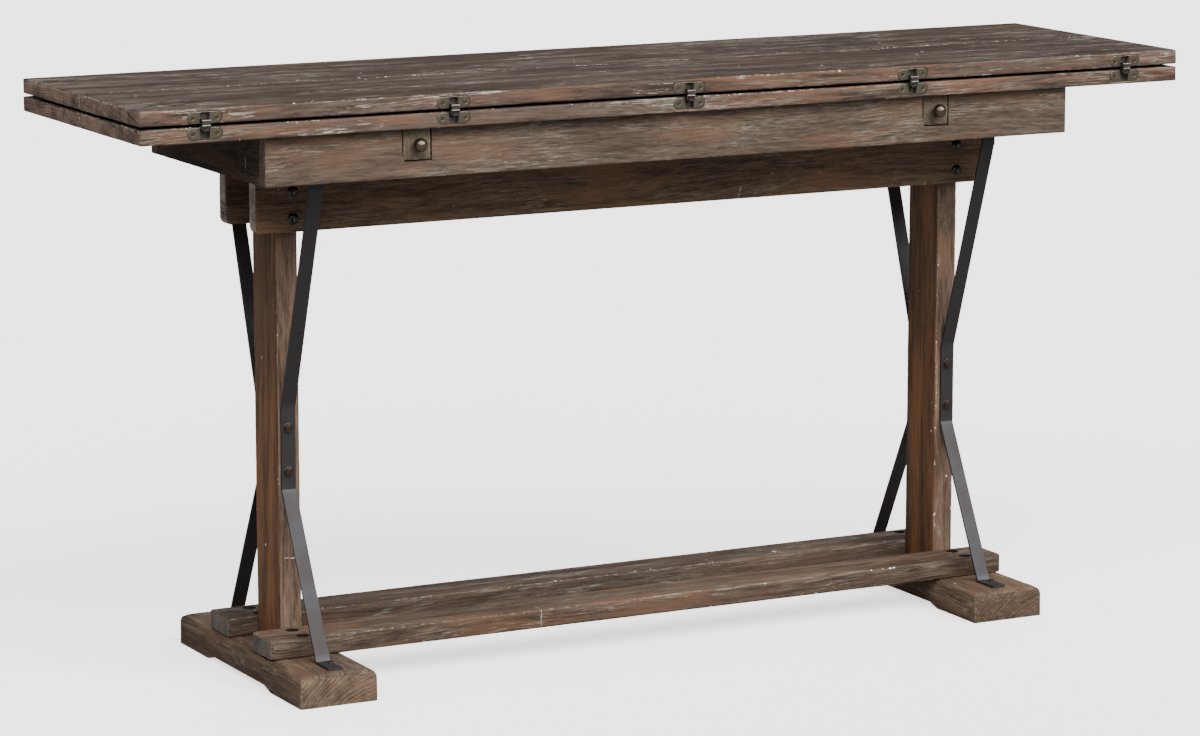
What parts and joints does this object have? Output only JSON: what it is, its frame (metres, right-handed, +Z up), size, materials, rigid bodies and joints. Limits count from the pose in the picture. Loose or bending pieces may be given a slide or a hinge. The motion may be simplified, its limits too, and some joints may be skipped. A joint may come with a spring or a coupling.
{
  "type": "flip-top console table",
  "caption": "Narrow trestle console table whose upper leaf flips forward on concealed hinges and rests on pull-out supports, doubling the top's depth.",
  "frame": {"origin": "on the floor under the middle of the folded top", "axes": "+X along the table, -Y towards the front where the hinges and knobs are, +Z up"},
  "size_m": [1.524, 0.4121, 0.7745],
  "materials": {
    "flip_leaf_wood": "distressed, whitewashed grain, matt",
    "fixed_leaf_wood": "distressed, whitewashed grain, matt",
    "apron_wood": "distressed, grey wash, matt",
    "inner_wood": "bare, sawn",
    "dowel_wood": "bare, turned",
    "loper_wood": "distressed, matt",
    "post_wood": "distressed, matt",
    "foot_wood": "distressed, matt",
    "stretcher_wood": "distressed, matt",
    "rail_wood": "distressed, matt",
    "knob_metal": "antique, dark",
    "strap_iron": "wrought flat bar, dark",
    "black_steel": "black",
    "dark_steel": "dark bronze",
    "hinge_bronze": "antique bronze",
    "screw_brass": "tarnished",
    "link_steel": "dull",
    "pin_steel": "plain",
    "felt": "felt"
  },
  "bodies": {
    "table_frame": {"apron_corner_blocks": "inner_wood", "back_apron": "apron_wood", "back_left_strap": "strap_iron", "back_rail": "rail_wood", "back_right_strap": "strap_iron", "back_stretcher": "stretcher_wood", "fixed_top_back_board": "fixed_leaf_wood", "fixed_top_front_board": "fixed_leaf_wood", "front_apron": "apron_wood", "front_left_strap": "strap_iron", "front_rail": "rail_wood", "front_right_strap": "strap_iron", "front_stretcher": "stretcher_wood", "leaf_bumpers": "felt", "left_bearer": "inner_wood", "left_end_apron": "apron_wood", "left_foot": "foot_wood", "left_post": "post_wood", "loper_guides": "inner_wood", "loper_stop_pins": "dowel_wood", "lower_hinge_cup_1": "hinge_bronze", "lower_hinge_cup_2": "hinge_bronze", "lower_hinge_cup_3": "hinge_bronze", "lower_hinge_cup_4": "hinge_bronze", "lower_hinge_cup_5": "hinge_bronze", "lower_pivot_pins": "pin_steel", "rail_bolts": "black_steel", "right_bearer": "inner_wood", "right_end_apron": "apron_wood", "right_foot": "foot_wood", "right_post": "post_wood", "strap_bolts": "dark_steel", "stretcher_bolts": "dark_steel"},
    "flip_leaf": {"flip_top_back_board": "flip_leaf_wood", "flip_top_front_board": "flip_leaf_wood", "upper_hinge_cup_1": "hinge_bronze", "upper_hinge_cup_2": "hinge_bronze", "upper_hinge_cup_3": "hinge_bronze", "upper_hinge_cup_4": "hinge_bronze", "upper_hinge_cup_5": "hinge_bronze", "upper_pivot_pins": "pin_steel"},
    "outer_links": {"outer_link_1": "link_steel", "outer_link_2": "link_steel", "outer_link_3": "link_steel", "outer_link_4": "link_steel", "outer_link_5": "link_steel"},
    "inner_links": {"inner_link_1": "link_steel", "inner_link_2": "link_steel", "inner_link_3": "link_steel", "inner_link_4": "link_steel", "inner_link_5": "link_steel"},
    "left_support": {"left_loper": "loper_wood", "left_knob": "knob_metal"},
    "right_support": {"right_loper": "loper_wood", "right_knob": "knob_metal"}
  },
  "joints": [
    {"name": "leaf_fold", "type": "hinge", "parent": "table_frame", "child": "flip_leaf", "pos_m": [0, -0.20335, 0.7529], "axis": [1, 0, 0], "range_deg": [0, 180]},
    {"name": "outer_link_turn", "type": "hinge", "parent": "table_frame", "child": "outer_links", "pos_m": [0, -0.19815, 0.7477], "axis": [1, 0, 0], "range_deg": [0, 90]},
    {"name": "inner_link_turn", "type": "hinge", "parent": "flip_leaf", "child": "inner_links", "pos_m": [0, -0.19815, 0.7581], "axis": [1, 0, 0], "range_deg": [-90, 0]},
    {"name": "left_support_slide", "type": "slide", "parent": "table_frame", "child": "left_support", "axis": [0, -1, 0], "range_m": [0, 0.28]},
    {"name": "right_support_slide", "type": "slide", "parent": "table_frame", "child": "right_support", "axis": [0, -1, 0], "range_m": [0, 0.28]}
  ],
  "couplings": [
    {"joint": "outer_link_turn", "follows": "leaf_fold", "ratio": 0.5},
    {"joint": "inner_link_turn", "follows": "leaf_fold", "ratio": -0.5}
  ]
}
